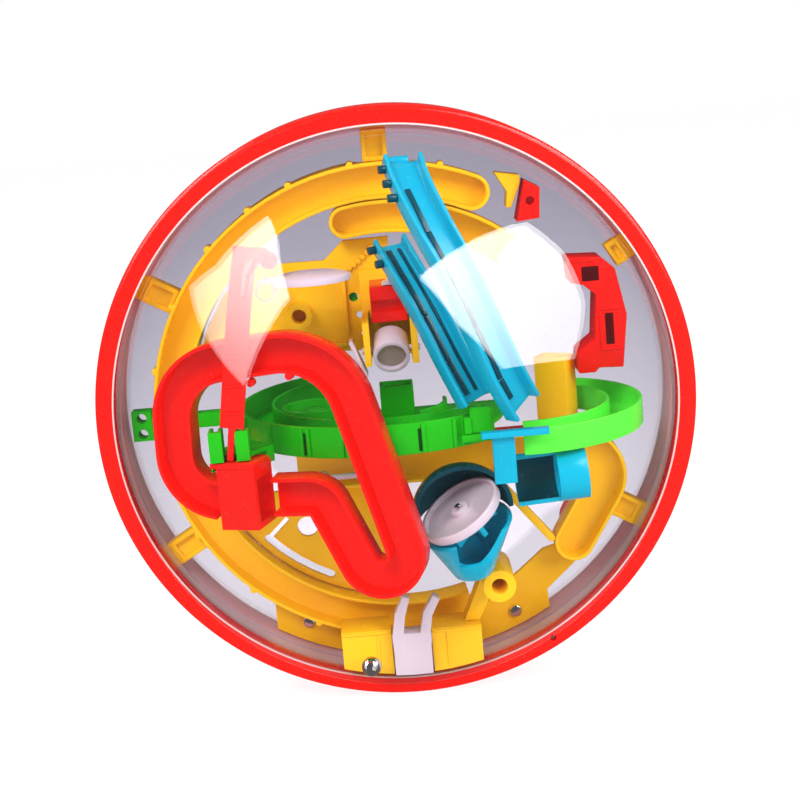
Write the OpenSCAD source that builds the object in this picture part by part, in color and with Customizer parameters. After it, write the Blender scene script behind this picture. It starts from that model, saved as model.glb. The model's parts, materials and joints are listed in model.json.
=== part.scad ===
// Clear sphere with a marble maze inside, held together by a two-piece rim.
// The origin is the centre of the sphere. The rim lies in the XZ plane, the front faces -Y.

/* [Sphere] */
// Outer radius of the clear domes
dome_r = 90.2; // [60:0.1:120]
// Wall of the clear domes
dome_wall = 1.8; // [1:0.1:4]
// Gap between one dome and the mid-plane
dome_half_gap = 0.1; // [0:0.05:0.5]
// Outer radius of the clamping flange on each dome
flange_r = 91.8; // [90:0.1:93]
// Thickness of the clamping flange
flange_t = 2.5; // [1.5:0.1:4]

/* [Rim] */
// Outer radius of the rim
rim_r = 95; // [80:0.5:120]
// Half of the rim width
rim_half_w = 14; // [8:0.5:20]
// Inner radius of the rim lip
rim_lip_r = 89.5; // [80:0.1:100]
// Radius of the locking pin
rim_pin_r = 0.8; // [0.5:0.1:2]

/* [Tracks] */
// Outer width of the flat yellow tracks
track_w = 11.5; // [9:0.1:16]
// Depth of the flat tracks
track_depth = 9; // [6:0.5:14]
// Wall thickness of the tracks
track_wall = 1.2; // [0.8:0.1:2.5]
// Floor thickness of the tracks
track_floor = 1.5; // [0.8:0.1:2.5]
// Width of the hook track
hook_w = 13; // [10:0.1:16]
// Width of the red loop track
snake_w = 11.6; // [10:0.1:14]
// Turn of the red loop track about the upright axis
snake_turn = -12; // [-20:1:0]

/* [Moving parts] */
// Radius of the steel ball
ball_r = 3.2; // [2:0.1:5]
// Radius of the swing wheel
wheel_r = 13.3; // [8:0.1:16]
// Radius of the tilting plate
plate_r = 12.2; // [8:0.1:14]
// Outer radius of the tilting cup
cup_r = 5.6; // [4:0.1:7]
// Tilt of the cup below level
cup_rest_tilt = 25; // [0:1:45]

/* [Hidden] */
$fn = 96;
bend_step = 7;
cap_steps = 10;
ring_mid_r = 71.75;
ring_outer_r = ring_mid_r + track_w / 2;
back_y = 3;
rear_y = 3.3;
deck_x = -2;
deck_y = 1.5;
deck_mid_r = 42.75;
deck_low = -6.5;
deck_h = 9.5;
side_loop_x = 40;
side_loop_y = -8;
side_loop_r = 32.25;
side_loop_low = -10;
side_loop_h = 8;
wheel_at = [17.6, -35, -29.5];
wheel_lean = [15, -30, 0];
bowl_lean = [15, -6, 0];
axle_r = 1;
plate_pivot = [-35.8, -30, 44];
cup_pivot = [-0.1, -22, 21.3];
ball_at = [-15.0, -28, -78.7];
base_front_y = -20;
safe_r = 87.8;
red = [0.95, 0.1, 0.07];
yellow = [0.98, 0.74, 0.08];
green = [0.15, 0.75, 0.1];
lime = [0.3, 0.9, 0.2];
teal = [0.06, 0.62, 0.75];
dark_teal = [0.04, 0.3, 0.36];
white = [0.93, 0.9, 0.92];
steel = [0.7, 0.7, 0.72];
clear = [0.85, 0.83, 0.92, 0.3];

// A place on a route is [x, y, heading]. A move is [length, 0] or [bend radius, bend angle].
function after(p, m) =
    m[1] == 0
    ? [p[0] + m[0] * cos(p[2]), p[1] + m[0] * sin(p[2]), p[2]]
    : let (s = sign(m[1]), h = p[2] + m[1])
      [p[0] + s * m[0] * (sin(h) - sin(p[2])), p[1] - s * m[0] * (cos(h) - cos(p[2])), h];

function pieces(m) = m[1] == 0 ? 1 : ceil(abs(m[1]) / bend_step);

function route(p, moves, i = 0) =
    i == len(moves)
    ? [p]
    : concat(
        [for (k = [0:pieces(moves[i]) - 1])
            k == 0 ? p : after(p, [moves[i][0], moves[i][1] * k / pieces(moves[i])])],
        route(after(p, moves[i]), moves, i + 1));

function side(path, off) = [for (p = path) [p[0] - off * sin(p[2]), p[1] + off * cos(p[2])]];

function flip(list) = [for (i = [len(list) - 1:-1:0]) list[i]];

function cap(p, r, from) =
    [for (k = [1:cap_steps - 1]) let (a = from - 180 * k / cap_steps)
        [p[0] + r * cos(a), p[1] + r * sin(a)]];

// A place moved 1 mm on, away from its neighbour on the route.
function past(p, q) =
    let (d = norm([p[0] - q[0], p[1] - q[1]]))
    [p[0] + (p[0] - q[0]) / d, p[1] + (p[1] - q[1]) / d, p[2]];

function reach(path, round_start, round_end) =
    let (last = len(path) - 1)
    [for (i = [0:last])
        i == 0 && !round_start ? past(path[0], path[1])
        : i == last && !round_end ? past(path[last], path[last - 1]) : path[i]];

// The outline of a band of width w along a path, with round ends where asked for.
module band(path, w, round_start, round_end) {
    last = path[len(path) - 1];
    polygon(concat(
        side(path, w / 2),
        round_end ? cap(last, w / 2, last[2] + 90) : [],
        flip(side(path, -w / 2)),
        round_start ? cap(path[0], w / 2, path[0][2] - 90) : []));
}

// A U channel along a flat path, floor at z = 0 and open upwards.
module channel(path, w, depth, round_start = false, round_end = false) {
    difference() {
        linear_extrude(depth) band(path, w, round_start, round_end);
        translate([0, 0, track_floor])
            linear_extrude(depth)
                band(reach(path, round_start, round_end), w - 2 * track_wall, round_start, round_end);
    }
}

// Stands a flat shape up in the XZ plane, thickness running towards the front from y.
module face_front(y) {
    translate([0, y, 0]) rotate([90, 0, 0]) children();
}

// The same for the back.
module face_rear(y) {
    translate([0, y, 0]) mirror([0, 1, 0]) rotate([90, 0, 0]) children();
}

// A circular arc of channel path about the origin, going clockwise for a negative sweep.
function arc_path(r, start, sweep) =
    let (h = start + (sweep < 0 ? -90 : 90))
    route([r * cos(start), r * sin(start), h], [[r, sweep]]);

// Half of the clear shell, on the front side.
module half_shell() {
    notch_w = 8.5;
    notch_h = 5.3;
    notch_from = 86;
    notch_len = 8;
    half = 100;
    difference() {
        union() {
            difference() {
                sphere(dome_r);
                sphere(dome_r - dome_wall);
                translate([-half, -dome_half_gap, -half]) cube(2 * half);
            }
            rotate([90, 0, 0])
                rotate_extrude()
                    translate([dome_r - dome_wall / 2, dome_half_gap])
                        square([flange_r - dome_r + dome_wall / 2, flange_t - dome_half_gap]);
        }
        for (a = [30, 90, 150, 210, 330])
            rotate([0, -a, 0])
                translate([notch_from, -notch_h / 2, -notch_w / 2])
                    cube([notch_len, notch_h, notch_w]);
    }
}

module front_dome() {
    color(clear) half_shell();
}

module rear_dome() {
    color(clear) mirror([0, 1, 0]) half_shell();
}

// Half of the rim: true cylinder outside, rounded front edge, groove for the flanges inside.
module half_rim() {
    groove_r = flange_r + 0.3;
    throat_r = dome_r + 0.4;
    throat_end = 6;
    cylinder_end = 11.8;
    rotate([90, 0, 0])
        rotate_extrude()
            polygon([
                [rim_lip_r, rim_half_w], [rim_r - 1.7, rim_half_w], [rim_r - 0.9, rim_half_w - 0.3],
                [rim_r - 0.3, rim_half_w - 1], [rim_r, cylinder_end], [rim_r, dome_half_gap],
                [groove_r, dome_half_gap], [groove_r, flange_t + 0.1],
                [throat_r, flange_t + 0.1], [throat_r, throat_end]]);
}

module front_rim() {
    pin_angle = -61;
    pin_at_r = 91.4;
    color(red)
        difference() {
            half_rim();
            rotate([0, -pin_angle, 0])
                translate([pin_at_r, 0, 0])
                    rotate([90, 0, 0]) translate([0, 0, 6]) cylinder(r = rim_pin_r + 0.05, h = 12);
        }
}

module rear_rim() {
    color(red) mirror([0, 1, 0]) half_rim();
}

module rim_pin() {
    pin_angle = -61;
    pin_at_r = 91.4;
    color(steel)
        rotate([0, -pin_angle, 0])
            translate([pin_at_r, 0, 0])
                rotate([90, 0, 0]) translate([0, 0, 6.2]) cylinder(r = rim_pin_r, h = 7.2);
}

module main_ring_track() {
    ear = [7.5, 6, 3.6];
    color(yellow) {
        face_front(back_y) channel(arc_path(ring_mid_r, 175.5, -109.5), track_w, track_depth, false, true);
        translate([-84.2, -3, 5.3]) cube(ear);
    }
}

module upper_inner_track() {
    inner_r = 60.5;
    inner_w = 10.2;
    color(yellow)
        face_front(back_y) channel(arc_path(inner_r, 100.5, -50.5), inner_w, track_depth, true, false);
}

module lower_ring_track() {
    color(yellow)
        face_front(back_y) channel(arc_path(ring_mid_r, 184.5, 101), track_w, track_depth);
}

module ring_spokes() {
    spoke_w = 8;
    bar_t = 6;
    tenon_t = 4.6;
    bar_end = 87.6;
    tenon_end = 91.7;
    color(yellow)
        for (s = [[30, 82.9], [90, ring_outer_r + 0.2], [150, ring_outer_r + 0.2],
                [210, ring_outer_r + 0.2], [330, 79.8]])
            rotate([0, -s[0], 0]) {
                translate([s[1], -bar_t / 2, -spoke_w / 2]) cube([bar_end - s[1], bar_t, spoke_w]);
                translate([s[1], -tenon_t / 2, -spoke_w / 2]) cube([tenon_end - s[1], tenon_t, spoke_w]);
            }
}

module center_plate() {
    plate_t = 2;
    boss_r = 4.1;
    boss_bore = 2.3;
    boss_len = 11;
    boss_at = [-28.1, 31.5];
    color(yellow)
        face_front(back_y)
            difference() {
                union() {
                    linear_extrude(plate_t)
                        polygon([
                            [-12.5, 53.3], [-19, 47.5], [-30, 47.6], [-44, 47.2], [-52.5, 38.5],
                            [-58.5, 28.5], [-60.5, 22], [-38, 19], [-7, 17.5], [-6, 40], [1, 46],
                            [2, 53.5]]);
                    translate(boss_at) cylinder(r = boss_r, h = boss_len);
                }
                translate(boss_at) translate([0, 0, plate_t]) cylinder(r = boss_bore, h = boss_len);
                for (h = [[-10.6, 35, 1.5], [-9, 29.1, 1.2], [-8.4, 22.9, 0.8]])
                    translate([h[0], h[1], -1]) cylinder(r = h[2], h = plate_t + 2);
                translate([plate_pivot[0], plate_pivot[2], -1]) cylinder(r = 1.55, h = plate_t + 2);
            }
}

module cup_bracket() {
    pad_t = 2;
    pad_bore = 1.08;
    back_t = 1.8;
    gap_x = 6.3;
    color(yellow)
        difference() {
            union() {
                translate([-gap_x - pad_t, -1, 15.5]) cube([2 * (gap_x + pad_t), back_t, 28]);
                translate([-gap_x - pad_t, -26, 17]) cube([pad_t, 26, 13.5]);
                translate([gap_x, -26, 17]) cube([pad_t, 26, 22]);
            }
            translate(cup_pivot) rotate([0, 90, 0]) cylinder(r = pad_bore, h = 40, center = true);
        }
}

module lower_plate() {
    plate_t = 2;
    edge_r = 65.6;
    slot_r = 62.4;
    slot_w = 2.8;
    color(yellow)
        face_front(back_y)
            difference() {
                linear_extrude(plate_t)
                    polygon(concat(
                        [for (a = [206:4:268]) [edge_r * cos(a), edge_r * sin(a)]],
                        [[-3, -56], [-3, -27], [-52, -27]]));
                translate([0, 0, -1])
                    linear_extrude(plate_t + 2) band(arc_path(slot_r, 223, 22), slot_w, true, true);
                translate([-32.5, -39.6, -1]) cylinder(r = 3.4, h = plate_t + 2);
                rotate([0, 0, 223]) translate([53, -0.8, -1]) cube([8.6, 1.6, plate_t + 2]);
            }
}

function hook_path() = route([-34, -19.5, 0], [[90.5, 0], [9.5, -122], [19.5, 0]]);

module hook_track() {
    color(yellow) face_front(back_y) channel(hook_path(), hook_w, track_depth, false, true);
}

module hook_guard() {
    guard_w = 2.4;
    color(yellow)
        face_front(-2) linear_extrude(4) band(route([31, -28.5, -52], [[25.5, 0]]), guard_w, false, true);
}

module base_plates() {
    plate_t = 2;
    hole_r = 1.3;
    color(yellow)
        intersection() {
            face_front(5.3)
                difference() {
                    linear_extrude(plate_t)
                        union() {
                            polygon([
                                [44.5, -55], [36, -62], [28, -68], [21.4, -76], [21.4, -90],
                                [46, -82], [45, -69], [58, -57.5], [52, -53]]);
                            polygon([
                                [-46, -66], [-46, -82], [-24.5, -90], [-24.5, -75], [-43, -66]]);
                        }
                    for (h = [[33.9, -75.5], [-35.3, -73]])
                        translate([h[0], h[1], -1]) cylinder(r = hole_r, h = plate_t + 2);
                }
            sphere(safe_r);
        }
}

module base_box_left() {
    color(yellow)
        intersection() {
            translate([-24, base_front_y, -95]) cube([16, 13.7, 25]);
            sphere(safe_r);
        }
}

module base_box_right() {
    color(yellow)
        intersection() {
            translate([5, base_front_y, -95]) cube([16, 13.7, 24]);
            sphere(safe_r);
        }
}

module base_boss() {
    boss_r = 5.2;
    boss_bore = 2.5;
    boss_len = 22;
    boss_floor = 3;
    color(yellow)
        difference() {
            union() {
                translate([27.3, -8, -55.4]) rotate([90, 0, 0]) cylinder(r = boss_r, h = boss_len);
                face_front(-8) linear_extrude(8) polygon([[20.8, -70.7], [16, -70.7], [22.5, -56], [27.5, -58]]);
            }
            translate([27.3, -8 - boss_floor, -55.4]) rotate([90, 0, 0]) cylinder(r = boss_bore, h = boss_len);
        }
}

module base_screws() {
    color(steel)
        for (h = [[33.9, -75.5], [-35.3, -73]]) {
            translate([h[0], 6.6, h[1]]) rotate([90, 0, 0]) cylinder(r = 1.25, h = 4);
            translate([h[0], 3.2, h[1]]) rotate([90, 0, 0]) cylinder(r = 2, h = 1.2);
        }
}

module start_fork() {
    body_t = 7;
    tine_t = 4;
    color(white) {
        intersection() {
            translate([-7.5, -24, -95]) cube([12, body_t, 24.5]);
            sphere(safe_r);
        }
        face_front(-20)
            linear_extrude(tine_t) {
                polygon([[-7.5, -71], [-4, -71], [-3.2, -65], [-1.2, -58.8], [-3.4, -58.2], [-6.3, -64]]);
                polygon([[1.2, -71], [4.5, -71], [5.6, -65], [8.3, -59.8], [6.3, -58.6], [2.8, -64]]);
            }
    }
}

module green_deck() {
    color(green)
        translate([deck_x, deck_y, deck_low]) channel(arc_path(deck_mid_r, -50, -185), track_w, deck_h);
}

module deck_floor() {
    floor_r = 36.6;
    floor_t = 1.5;
    color(green)
        translate([deck_x, deck_y, deck_low])
            difference() {
                cylinder(r = floor_r, h = floor_t);
                translate([-50, 12, -1]) cube([100, 50, floor_t + 2]);
                translate([17, -12, -1]) cylinder(r = 6, h = floor_t + 2);
                translate([-2, -27, -1]) cylinder(r = 4.5, h = floor_t + 2);
            }
}

module deck_inner_ring() {
    ring_r = 10.5;
    ring_wall = 1.4;
    ring_h = 8;
    color(green)
        translate([-26, -8.6, deck_low + 1.7]) {
            difference() {
                cylinder(r = ring_r, h = ring_h);
                translate([0, 0, 1.5]) cylinder(r = ring_r - ring_wall, h = ring_h);
            }
            cylinder(r = 3, h = ring_h - 1);
        }
}

module deck_tower() {
    color(green)
        translate([-4.8, -12, deck_low + 1.7])
            difference() {
                cube([10.6, 9, 12.4]);
                translate([1.4, 1.4, 3]) cube([7.8, 6.2, 12]);
            }
}

module deck_clips() {
    base_h = 5;
    lug_h = 9;
    bracket_room = [16, 14, 22.6];
    color(green)
        difference() {
            union() {
                translate([0, 0, deck_low])
                    linear_extrude(base_h)
                        polygon([[-56, -47.5], [-44.3, -47.5], [-37.8, -38.5], [-45.2, -30.2], [-52, -36]]);
                for (x = [-55.6, -47.8])
                    translate([x, -52, -2.7])
                        difference() {
                            cube([3.9, 7, lug_h]);
                            translate([1.1, 2.2, 1.6]) cube([1.7, 6, lug_h]);
                        }
            }
            at_bracket() cube(bracket_room, center = true);
        }
}

module deck_side_tab() {
    hole_r = 1.6;
    color(green)
        difference() {
            union() {
                translate([-85.2, -3, -5.2]) cube([6.4, 6, 9.6]);
                translate([-79, -2.5, -2.4]) cube([27.7, 5, 4.6]);
            }
            for (z = [-3, 2.2])
                translate([-82, -4, z]) rotate([-90, 0, 0]) cylinder(r = hole_r, h = 8);
        }
}

module deck_riser() {
    color(yellow)
        translate([52, 0, -12.7])
            rotate([0, 0, -30])
                difference() {
                    translate([-5.5, -4, 0]) cube([11, 8, 23.5]);
                    translate([-4.1, -2.6, 10]) cube([8.2, 5.2, 15]);
                }
}

module side_loop() {
    start = -95;
    sweep = 155;
    color(lime)
        translate([side_loop_x, side_loop_y, side_loop_low])
            channel(arc_path(side_loop_r, start, sweep), track_w, side_loop_h);
}

function snake_path() = route([-27.6, -15.1, 0], [
    [10.5, 0], [6.5, -66], [19.5, 0], [7.5, 171.5], [46, 0], [21, 80.5], [16.5, 0],
    [17.5, 82.5], [10.5, 0], [14, 77.5], [2, 0]]);

module snake_track() {
    snake_y = -49.1;
    snake_depth = 8.5;
    color(red)
        rotate([0, 0, snake_turn]) face_front(snake_y) channel(snake_path(), snake_w, snake_depth);
}

// The box that joins the loop track to the deck stands on this place.
module at_bracket() {
    translate([-46.6, -46.2, -14]) rotate([0, 0, -20]) children();
}

module snake_bracket() {
    box = [12, 13, 19];
    wall = 1.4;
    cap_t = 1.6;
    overhang = 0.6;
    color(red)
        at_bracket() {
            difference() {
                cube(box, center = true);
                translate([0, 0.4, -1]) cube([box[0] + 2, box[1] - 2 * wall, box[2] - 6], center = true);
            }
            translate([-box[0] / 2 - cap_t, -box[1] / 2 - overhang, box[2] / 2 - 0.2])
                cube([box[0] + 2, box[1] - 2, cap_t]);
        }
}

module snake_arm() {
    lean = 9.1;
    arm_w = 7;
    neck_w = 2;
    color(red)
        translate([-49.5, 0, 0])
            rotate([0, lean, 0])
                difference() {
                    translate([-arm_w / 2, 0, 0])
                        rotate([90, 0, 90])
                            linear_extrude(arm_w)
                                polygon([
                                    [-49.3, -2.7], [-51, -2.7], [-53, 12], [-53, 28], [-49.7, 42],
                                    [-44, 52], [-37, 59], [-35.6, 57.6], [-42.4, 51], [-47.8, 41.4],
                                    [-51, 28], [-51, 12]]);
                    for (s = [-1, 1])
                        translate([s * (neck_w / 2 + 3) - 3, -60, -10]) cube([6, 20, 17.4]);
                }
}

module box_hook() {
    wall = 1.6;
    depth = 13;
    color(red)
        face_front(6.5)
            difference() {
                linear_extrude(depth)
                    polygon([
                        [57.4, 42.5], [68, 42], [72.3, 38], [75.3, 23], [73.3, 6.2], [65.6, 6.6],
                        [64.4, 5.2], [59, 5.2], [59, 12], [64.6, 16], [65.8, 30], [62, 33.5],
                        [58, 34.5]]);
                translate([0, 0, wall])
                    linear_extrude(depth - 2 * wall)
                        polygon([
                            [50, 41], [67.4, 40.4], [70.8, 37.2], [73.6, 23], [71.9, 8.2],
                            [67.2, 8.2], [66.4, 16], [67.6, 30.8], [62.9, 35], [50, 36.4]]);
            }
}

module top_clip() {
    color(red)
        face_front(4)
            difference() {
                linear_extrude(12) polygon([[45.6, 68.1], [50.2, 65.5], [49.5, 56], [42.5, 55.4]]);
                translate([46.9, 61.6, 8]) cylinder(r = 1.4, h = 6);
            }
}

module clip_lug() {
    color(yellow)
        face_front(3)
            linear_extrude(8)
                polygon([[36.6, 71], [44.6, 69.6], [44.4, 66.8], [41.2, 59.6], [39.6, 59.8], [40.2, 64.6]]);
}

module cup_block() {
    color(red)
        difference() {
            translate([-5.2, base_front_y, 29.4]) cube([11, 18.6, 11]);
            translate([-6, base_front_y - 1, 32.8]) cube([13, 4, 3.4]);
        }
}

module block_flap() {
    color(white)
        face_front(-9) linear_extrude(10) polygon([[-1.5, 40.6], [5.8, 44], [5.8, 40.6]]);
}

module tilt_cup() {
    cup_len = 9;
    cup_wall = 1.1;
    pin_r = 1;
    pin_half = 8.9;
    color(white)
        translate(cup_pivot)
            difference() {
                union() {
                    rotate([90 + cup_rest_tilt, 0, 0])
                        cylinder(r = cup_r, h = cup_len, center = true);
                    rotate([0, 90, 0]) cylinder(r = pin_r, h = 2 * pin_half, center = true);
                }
                rotate([90 + cup_rest_tilt, 0, 0])
                    translate([0, 0, -cup_len / 2 + cup_wall])
                        cylinder(r = cup_r - cup_wall, h = cup_len);
            }
}

function unit(v) = v / norm(v);

// A smooth run through control points.
function blend(a, b, c, d, t) =
    0.5 * (2 * b + (c - a) * t + (2 * a - 5 * b + 4 * c - d) * t * t
        + (3 * b - 3 * c + d - a) * t * t * t);

function smooth(p, n) =
    let (last = len(p) - 1)
    concat(
        [for (i = [0:last - 1]) for (k = [0:n - 1])
            blend(p[max(i - 1, 0)], p[i], p[i + 1], p[min(i + 2, last)], k / n)],
        [p[last]]);

// A U channel along a space curve, open away from the sphere centre.
module space_channel(points, w, wall_h) {
    path = smooth(points, 5);
    last = len(path) - 1;
    t = track_wall;
    outline = [
        [-w / 2, 0], [-w / 2, wall_h], [-w / 2 + t, wall_h], [-w / 2 + t, t],
        [w / 2 - t, t], [w / 2 - t, wall_h], [w / 2, wall_h], [w / 2, 0]];
    n = len(outline);
    rings = [for (i = [0:last])
        let (
            ahead = unit(path[min(i + 1, last)] - path[max(i - 1, 0)]),
            across = unit(cross(ahead, unit(path[i]))),
            up = cross(across, ahead))
        for (o = outline) path[i] + o[0] * across + o[1] * up];
    caps = [[0, 1, 2, 3], [0, 3, 4, 7], [4, 5, 6, 7]];
    polyhedron(
        rings,
        concat(
            [for (c = caps) flip(c)],
            [for (c = caps) [for (v = c) v + last * n]],
            [for (i = [0:last - 1]) for (k = [0:n - 1])
                [i * n + k, i * n + (k + 1) % n, (i + 1) * n + (k + 1) % n]],
            [for (i = [0:last - 1]) for (k = [0:n - 1])
                [i * n + k, (i + 1) * n + (k + 1) % n, (i + 1) * n + k]]));
}

module ramp_upper() {
    color(teal)
        space_channel([
            [7.6, -20, 77], [9.6, -28, 69], [14.5, -38, 57], [20, -45, 45], [25.5, -49, 30],
            [31, -49, 15], [35.5, -45.5, 5]], 12, 5);
}

module ramp_lower() {
    color(teal)
        space_channel([
            [1.6, -15, 51.5], [6, -25, 43], [11.5, -33, 32], [17, -38.5, 19], [22.5, -40.5, 6.5]],
            10.5, 5);
}

module ramp_foot() {
    color(teal) {
        translate([24, -52, -2.6]) cube([20, 3.4, 1.8]);
        translate([27.2, -50, -17]) cube([6.6, 3.4, 14.6]);
    }
}

module scoop_tube() {
    tube_r = 8;
    tube_wall = 1.3;
    tube_len = 21.5;
    scoop_len = 12.5;
    color(teal)
        translate([34.2, -38, -19.6])
            rotate([0, 87, 0])
                difference() {
                    cylinder(r = tube_r, h = tube_len);
                    translate([0, 0, -1]) cylinder(r = tube_r - tube_wall, h = tube_len + 2);
                    translate([-2 * tube_r, -2 * tube_r, -1])
                        cube([4 * tube_r, 2 * tube_r - 1, scoop_len + 1]);
                }
}

// The bowl and hood stand on this place; the wheel inside them leans further.
module at_bowl() {
    translate(wheel_at) rotate(bowl_lean) children();
}

module at_wheel() {
    translate(wheel_at) rotate(wheel_lean) children();
}

module wheel_hood() {
    hood_r = 16;
    hood_wall = 1.4;
    hood_low = -2;
    open_to = 1;
    color(dark_teal)
        difference() {
            at_bowl()
                difference() {
                    sphere(hood_r);
                    sphere(hood_r - hood_wall);
                    translate([-2 * hood_r, -2 * hood_r, hood_low - 4 * hood_r]) cube(4 * hood_r);
                }
            at_wheel() translate([-2 * hood_r, open_to - 4 * hood_r, -2 * hood_r]) cube(4 * hood_r);
        }
}

module wheel_bowl() {
    bowl_low = -20.5;
    bowl_h = 17.5;
    low_r = 6.5;
    high_r = 14.6;
    floor_t = 1.5;
    color(teal)
        difference() {
            at_bowl()
                difference() {
                    translate([0, 0, bowl_low]) cylinder(r1 = low_r, r2 = high_r, h = bowl_h);
                    translate([0, 0, bowl_low + floor_t])
                        cylinder(r1 = low_r - 1.1, r2 = high_r - 0.7, h = bowl_h);
                    translate([-4, -30, -13]) cube([30, 22, 20]);
                }
            at_wheel() {
                translate([-30, -30, -1]) cube(60);
                translate([0, 0, -24]) cylinder(r = axle_r + 0.05, h = 20);
            }
        }
}

module wheel_axle() {
    axle_low = -19.4;
    axle_high = 4;
    color(steel) at_wheel() translate([0, 0, axle_low]) cylinder(r = axle_r, h = axle_high - axle_low);
}

module swing_wheel() {
    rim_h = 3;
    disc_t = 1.3;
    hub_r = 3;
    color(white)
        at_wheel()
            difference() {
                cylinder(r = wheel_r, h = rim_h);
                difference() {
                    translate([0, 0, disc_t]) cylinder(r = wheel_r - 1.2, h = rim_h);
                    cylinder(r = hub_r, h = rim_h);
                }
                translate([0, 0, -1]) cylinder(r = axle_r + 0.06, h = rim_h + 2);
            }
}

module star_paddle() {
    blade_len = 9;
    blade_h = 6;
    hub_r = 2.6;
    color(teal)
        at_wheel()
            translate([0, 0, -blade_h - 0.1])
                difference() {
                    union() {
                        cylinder(r = hub_r, h = blade_h);
                        for (a = [0:72:288])
                            rotate([0, 0, a])
                                translate([hub_r - 0.6, -0.8, 0]) cube([blade_len - hub_r, 1.6, blade_h]);
                    }
                    translate([0, 0, -1]) cylinder(r = axle_r + 0.06, h = blade_h + 2);
                }
}

module plate_post() {
    color(yellow)
        translate([plate_pivot[0], 0, plate_pivot[2]]) {
            translate([0, 3, 0]) rotate([90, 0, 0]) cylinder(r = 1.5, h = 37.4);
            translate([0, -34.4, 0]) rotate([90, 0, 0]) cylinder(r = 2.6, h = 1.4);
        }
}

module tilt_plate() {
    hub_r = 3.2;
    hub_len = 8;
    plate_t = 1.5;
    color(white)
        difference() {
            union() {
                translate([-22.4, -30, 45.4]) cylinder(r = plate_r, h = plate_t);
                translate([plate_pivot[0], -26, plate_pivot[2]]) rotate([90, 0, 0]) cylinder(r = hub_r, h = hub_len);
            }
            translate([plate_pivot[0], -25, plate_pivot[2]]) rotate([90, 0, 0]) cylinder(r = 1.56, h = hub_len + 2);
        }
}

module stop_pin() {
    color(white)
        translate([-24, -34, -14.6]) {
            translate([1, 0, 0]) rotate([0, 90, 0]) cylinder(r = 0.9, h = 11);
            rotate([90, 0, 0]) cylinder(r = 1.9, h = 3, center = true);
        }
}

module guide_strip() {
    color(white)
        translate([-13, -24, 24.5]) rotate([0, 70, 0]) cube([12, 8, 1.3]);
}

module steel_ball() {
    color(steel) translate(ball_at) sphere(ball_r);
}

module rear_arc_track() {
    color(yellow)
        face_rear(rear_y) channel(arc_path(ring_mid_r, 172, -76), track_w, track_depth, true, true);
}

module rear_shelf_track() {
    color(green)
        face_rear(rear_y)
            channel(route([-53, 27, 0], [[26, 0], [14, 38], [4, 0]]), track_w, track_depth, true, true);
}

module rear_run_track() {
    color(red)
        face_rear(rear_y)
            channel(route([-28, -20, 0], [[84, 0], [9.5, -120], [14, 0]]), track_w, track_depth, true, true);
}

front_dome();
rear_dome();
front_rim();
rear_rim();
rim_pin();
main_ring_track();
upper_inner_track();
lower_ring_track();
ring_spokes();
center_plate();
cup_bracket();
lower_plate();
hook_track();
hook_guard();
base_plates();
base_box_left();
base_box_right();
base_boss();
base_screws();
start_fork();
green_deck();
deck_floor();
deck_inner_ring();
deck_tower();
deck_clips();
deck_side_tab();
deck_riser();
side_loop();
snake_track();
snake_bracket();
snake_arm();
box_hook();
top_clip();
clip_lug();
cup_block();
block_flap();
tilt_cup();
ramp_upper();
ramp_lower();
ramp_foot();
scoop_tube();
wheel_hood();
wheel_bowl();
wheel_axle();
swing_wheel();
star_paddle();
plate_post();
tilt_plate();
stop_pin();
guide_strip();
steel_ball();
rear_arc_track();
rear_shelf_track();
rear_run_track();
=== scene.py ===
import json
import math

import bpy
from mathutils import Matrix, Vector

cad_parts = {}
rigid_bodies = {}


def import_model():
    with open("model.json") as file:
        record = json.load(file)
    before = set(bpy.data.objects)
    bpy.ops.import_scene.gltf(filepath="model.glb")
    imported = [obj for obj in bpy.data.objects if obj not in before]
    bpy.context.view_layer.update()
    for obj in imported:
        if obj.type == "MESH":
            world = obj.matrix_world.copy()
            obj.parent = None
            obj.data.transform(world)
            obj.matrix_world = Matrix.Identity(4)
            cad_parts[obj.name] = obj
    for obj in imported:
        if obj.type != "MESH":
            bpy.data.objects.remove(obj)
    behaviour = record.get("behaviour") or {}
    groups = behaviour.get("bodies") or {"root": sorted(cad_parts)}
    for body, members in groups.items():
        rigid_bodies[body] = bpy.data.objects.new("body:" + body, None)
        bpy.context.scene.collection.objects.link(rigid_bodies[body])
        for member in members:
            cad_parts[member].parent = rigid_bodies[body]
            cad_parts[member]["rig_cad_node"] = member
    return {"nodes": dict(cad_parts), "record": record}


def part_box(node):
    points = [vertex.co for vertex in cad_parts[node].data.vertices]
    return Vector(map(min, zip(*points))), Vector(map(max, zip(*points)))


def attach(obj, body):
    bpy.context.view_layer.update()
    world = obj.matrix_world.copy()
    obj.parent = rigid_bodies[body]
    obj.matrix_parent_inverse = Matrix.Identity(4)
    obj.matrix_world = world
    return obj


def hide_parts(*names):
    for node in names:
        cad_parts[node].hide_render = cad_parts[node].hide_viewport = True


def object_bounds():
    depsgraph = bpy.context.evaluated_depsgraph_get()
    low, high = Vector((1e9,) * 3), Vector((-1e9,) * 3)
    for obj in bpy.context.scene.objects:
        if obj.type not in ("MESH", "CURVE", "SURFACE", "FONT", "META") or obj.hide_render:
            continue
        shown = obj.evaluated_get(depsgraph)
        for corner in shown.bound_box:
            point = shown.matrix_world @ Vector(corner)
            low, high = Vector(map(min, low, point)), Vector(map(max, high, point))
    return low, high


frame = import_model()
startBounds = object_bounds()
mm = 0.001
near = 0.00001  # metres, the slack in tests of where a point is


cameraSettings = {
    "distance": 0.520,  # metres from the middle of the sphere
    "elevation": 12.0,  # degrees above level
    "roll": 5.0,  # the sphere leans a little to the right
    "metresAcross": 0.2589,  # width of the view at the middle of the sphere
    "aimRight": 0.0013,
    "aimDown": 0.0005,
}


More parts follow.
